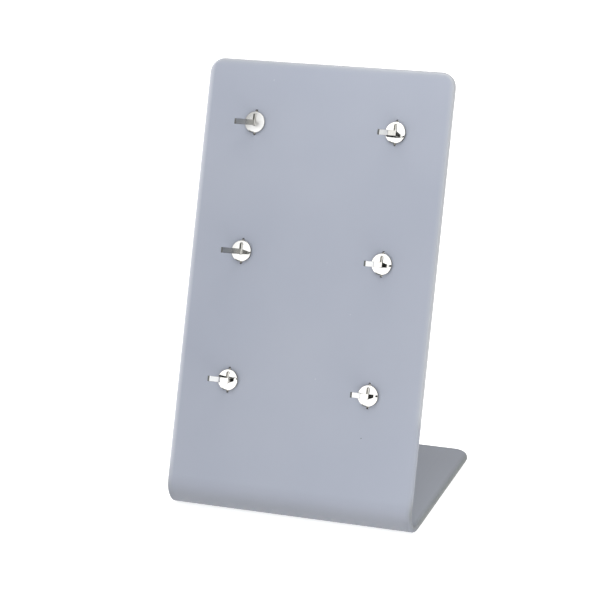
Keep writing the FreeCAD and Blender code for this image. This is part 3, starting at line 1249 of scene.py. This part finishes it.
@dataclass
class ClipSet:
    """The six clips in the panel's slits."""

    sheet: BentSheet
    clip: PendantClip = field(default_factory=PendantClip)
    plate: PolishedNickelPlate = field(default_factory=PolishedNickelPlate)
    # Arm, root and upper-left shade are painted shade and reflection, set clip by clip for the light each
    # one lies in.
    fits: dict[tuple[Row, Column], ClipFit] = field(default_factory=lambda: {
        (Row.TOP, Column.LEFT): ClipFit(
            -4.5, frost=0.7, arm_shade=0.62, root_shade=0.76, upper_left_shade=0.55, hazed=0.45, lean_deg=-0.6
        ),
        (Row.TOP, Column.RIGHT): ClipFit(-4.5, frost=0.9, arm_shade=0.15, root_shade=0.3, lean_deg=-0.2),
        (Row.MIDDLE, Column.LEFT): ClipFit(-1.5, frost=0.3, arm_shade=0.65, root_shade=0.8, upper_left_shade=0.25),
        (Row.MIDDLE, Column.RIGHT): ClipFit(-1.5),
        (Row.BOTTOM, Column.LEFT): ClipFit(2.0, lean_deg=0.6),
        (Row.BOTTOM, Column.RIGHT): ClipFit(2.0, lean_deg=-0.5),
    })

    def build(self) -> list[bpy.types.Object]:
        """Make the six discs and six strips, each in the place of its CAD node.

        Returns:
            The twelve objects.
        """
        plate = self.plate.make()
        pieces = []
        for (row, column), fit in self.fits.items():
            place = f"{row.name.lower()}_{column.name.lower()}"
            to_stand = partial(self.sheet.on_panel, row=row, column=column)
            for kind, shape in (("disc", self.clip.disc_surface), ("strip", self.clip.strip_surface)):
                piece = shape(fit).carried(to_stand).to_object(f"clip_{kind}_{place}", sharp_deg=32.0)
                place_piece(piece, f"{kind}_{place}", plate)
                pieces.append(piece)
        return pieces


@dataclass(frozen=True)
class PhotoCamera:
    """The photograph's camera, fitted to the outline and to the ends of the slits."""

    azimuth_deg: float = 22.05
    elevation_deg: float = 22.10
    roll_deg: float = -2.83
    distance: float = 1117.72
    shift_right: float = 7.73
    shift_up: float = 104.90
    focal_pixels: float = 2439.21
    frame_pixels: float = 600.0
    sensor: float = 36.0

    def axes(self) -> tuple[np.ndarray, np.ndarray, np.ndarray]:
        """Right, up and back of the camera.

        Returns:
            Three unit vectors on the stand.
        """
        azimuth, elevation = math.radians(self.azimuth_deg), math.radians(self.elevation_deg)
        roll = math.radians(self.roll_deg)
        back = np.array([
            math.sin(azimuth) * math.cos(elevation),
            -math.cos(azimuth) * math.cos(elevation),
            math.sin(elevation),
        ])
        level_right = np.array([math.cos(azimuth), math.sin(azimuth), 0.0])
        level_up = np.cross(back, level_right)
        right = level_right * math.cos(roll) + level_up * math.sin(roll)
        up = level_up * math.cos(roll) - level_right * math.sin(roll)
        return right, up, back

    def position(self, aim: np.ndarray) -> np.ndarray:
        """Where the camera stands, in millimetres, from the point that it was fitted about."""
        right, up, back = self.axes()
        return aim + back * self.distance + right * self.shift_right + up * self.shift_up

    def on_plane(self, pixel: tuple[float, float], aim: np.ndarray, normal: np.ndarray) -> np.ndarray:
        """The point of a plane that a pixel of the photograph shows.

        Args:
            pixel: place in the photograph, from its top left corner.
            aim: the point that the camera was fitted about, which the plane passes through.
            normal: the plane's normal.

        Returns:
            The point in millimetres.
        """
        right, up, back = self.axes()
        centre = self.frame_pixels / 2
        ray = right * (pixel[0] - centre) - up * (pixel[1] - centre) - back * self.focal_pixels
        start = self.position(aim)
        return start + ray * float((aim - start) @ normal) / float(ray @ normal)

    def set_up(self, aim: np.ndarray) -> bpy.types.Object:
        """Make the camera and hand it to the scene.

        Args:
            aim: the point that the camera was fitted about.

        Returns:
            The camera.
        """
        right, up, back = self.axes()
        data = bpy.data.cameras.new("photo_camera")
        data.lens = self.focal_pixels * self.sensor / self.frame_pixels
        data.sensor_width = self.sensor
        camera = bpy.data.objects.new("photo_camera", data)
        turned = Matrix(np.stack([right, up, back], axis=1).tolist()).to_4x4()
        place = Vector((self.position(aim) * MILLIMETRE).tolist())
        camera.matrix_world = Matrix.Translation(place) @ turned
        bpy.context.scene.collection.objects.link(camera)
        bpy.context.scene.camera = camera
        return camera


@dataclass(frozen=True)
class SoftLamp:
    """One square soft lamp: where it hangs and what it points at, in metres, its side and watts."""

    name: str
    place: tuple[float, float, float]
    aim: tuple[float, float, float]
    side: float
    watts: float

    def hang(self) -> None:
        """Put the lamp in the scene."""
        data = bpy.data.lights.new(self.name, "AREA")
        data.shape = "SQUARE"
        data.size = self.side
        data.energy = self.watts
        lamp = bpy.data.objects.new(self.name, data)
        lamp.location = self.place
        lamp.rotation_euler = (Vector(self.aim) - Vector(self.place)).to_track_quat("-Z", "Y").to_euler()
        bpy.context.scene.collection.objects.link(lamp)


@dataclass
class Studio:
    """White light tent on pale seamless paper, with a slit in its front for the camera.

    The front is brightest on either side of the camera, where a softbox stands behind the cloth.
    The dark slit runs nearly level across the front and opens wider where the camera looks in.
    """

    lamps: tuple[SoftLamp, ...] = (
        SoftLamp("overhead_scrim", (0.0, 0.4, 2.2), (0.0, 0.4, 0.0), side=3.0, watts=34.5),
        SoftLamp("key_lamp", (0.03, -0.06, 0.36), (0.0, 0.03, 0.18), side=0.14, watts=0.22),
        SoftLamp("low_bounce", (0.13, -0.24, 0.05), (0.03, -0.02, 0.05), side=0.12, watts=0.15),
        SoftLamp("side_softbox", (1.10, -0.45, 0.55), (0.0, 0.0, 0.11), side=0.6, watts=1.6),
    )
    cloth: str = "FBFCFF"
    tent_strength: float = 0.50
    window_strength: float = 1.5
    left_window_deg: tuple[float, float, float, float] = (-44.0, 2.0, 0.0, 48.0)
    right_window_deg: tuple[float, float, float, float] = (20.5, 50.0, 8.0, 40.0)
    slit_azimuth_deg: tuple[float, float] = (-50.0, 16.0)
    slit_elevation_deg: tuple[float, float] = (23.4, 26.0)  # straight ahead; it falls to the left
    slit_slope: float = 0.11  # degrees of elevation for each degree of azimuth
    slit_strength: float = 0.02
    opening_azimuth_deg: float = 11.0
    opening_elevation_deg: float = 23.0
    opening_deg: float = 8.0
    opening_soft_deg: float = 10.5
    floor_half: float = 6000.0
    floor_gap: float = 0.2

    def build(self) -> None:
        """Set up the paper, the tent and the lamps."""
        self._floor()
        self._tent()
        for lamp in self.lamps:
            lamp.hang()
        view = bpy.context.scene.view_settings
        view.view_transform = "Standard"
        view.look = "None"

    def _floor(self) -> None:
        """Lay the paper a hair below the base, so that the two faces never share a plane."""
        half = self.floor_half
        steps = np.linspace(-half, half, 9)
        across, along = np.meshgrid(steps, steps)
        skin = Skin()
        skin.add(np.stack([across, along, np.full_like(across, -self.floor_gap)], axis=-1))
        floor = skin.to_object("paper_floor", sharp_deg=60.0)
        floor.data.materials.append(SeamlessPaper().make())

    @staticmethod
    def _between(
        tree: bpy.types.NodeTree, angle: bpy.types.NodeSocket, limits: tuple[float, float], soft_deg: float
    ) -> bpy.types.NodeSocket:
        """Socket that is 1 where an angle lies between two limits and falls softly to 0 outside.

        Args:
            tree: the world's tree.
            angle: the angle in radians.
            limits: the two limits in degrees.
            soft_deg: how many degrees the fall takes.

        Returns:
            The socket.
        """
        middle, half = math.radians(sum(limits) / 2), math.radians((limits[1] - limits[0]) / 2)
        away = maths(tree, "ABSOLUTE", maths(tree, "SUBTRACT", angle, middle))
        soft = math.radians(soft_deg) / 2
        return remap(tree, away, (half - soft, half + soft), (1.0, 0.0), smooth=True)

    def _tent(self) -> None:
        """Light from all round, as inside a white tent, dark only in the slit for the camera.

        A polished disc mirrors the tent's front, so the slit shows as a thin dark line across it.
        A disc and the arm that stands square on it send light back almost where it came from, so
        the opening for the camera shows as the small black notch beside an arm.
        """
        world = bpy.data.worlds.new("light_tent")
        bpy.context.scene.world = world
        world.use_nodes = True
        tree = world.node_tree
        tree.nodes.clear()
        direction = add_node(tree, "ShaderNodeTexCoord").outputs["Object"]
        part = add_node(tree, "ShaderNodeSeparateXYZ", {"Vector": direction})
        forward = maths(tree, "MULTIPLY", part.outputs["Y"], -1.0)
        azimuth = maths(tree, "ARCTAN2", part.outputs["X"], forward)
        elevation = maths(tree, "ARCSINE", part.outputs["Z"])

        lit: Any = self.tent_strength
        for window_deg in (self.left_window_deg, self.right_window_deg):
            in_azimuth = self._between(tree, azimuth, window_deg[:2], 3.0)
            in_elevation = self._between(tree, elevation, window_deg[2:], 6.0)
            window = maths(tree, "MULTIPLY", in_azimuth, in_elevation)
            lit = mix_value(tree, window, lit, self.window_strength)

        fallen = maths(tree, "MULTIPLY_ADD", azimuth, -self.slit_slope, elevation)
        in_azimuth = self._between(tree, azimuth, self.slit_azimuth_deg, 4.0)
        in_elevation = self._between(tree, fallen, self.slit_elevation_deg, 0.5)
        slit = maths(tree, "MULTIPLY", in_azimuth, in_elevation)
        turn, rise = math.radians(self.opening_azimuth_deg), math.radians(self.opening_elevation_deg)
        towards = (math.sin(turn) * math.cos(rise), -math.cos(turn) * math.cos(rise), math.sin(rise))
        facing = add_node(tree, "ShaderNodeVectorMath", {0: direction, 1: towards}, operation="DOT_PRODUCT")
        edges = (math.cos(math.radians(self.opening_soft_deg)), math.cos(math.radians(self.opening_deg)))
        opening = remap(tree, facing.outputs["Value"], edges, (0.0, 1.0), smooth=True)
        dark = maths(tree, "MAXIMUM", slit, opening)
        strength = mix_value(tree, dark, lit, self.slit_strength)
        cloth = add_node(tree, "ShaderNodeBackground", {"Color": linear(self.cloth), "Strength": strength})
        add_node(tree, "ShaderNodeOutputWorld", {"Surface": cloth.outputs["Background"]})


def main() -> None:
    """Build the stand piece by piece, then the studio round it."""
    logging.basicConfig(level=logging.INFO, format="%(name)s: %(message)s")
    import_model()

    camera = PhotoCamera()
    sheet = BentSheet()
    speck = camera.on_plane(SPECK_PIXEL, sheet.sharp_corner, sheet.out_of_panel)
    sheet.finish = SatinCastAcrylic(speck_place=tuple(float(v) for v in speck * MILLIMETRE))
    sheet.build()
    clips = ClipSet(sheet).build()
    LOG.info("%d clip pieces", len(clips))
    camera.set_up(sheet.sharp_corner)
    Studio().build()


if __name__ == "__main__":
    main()
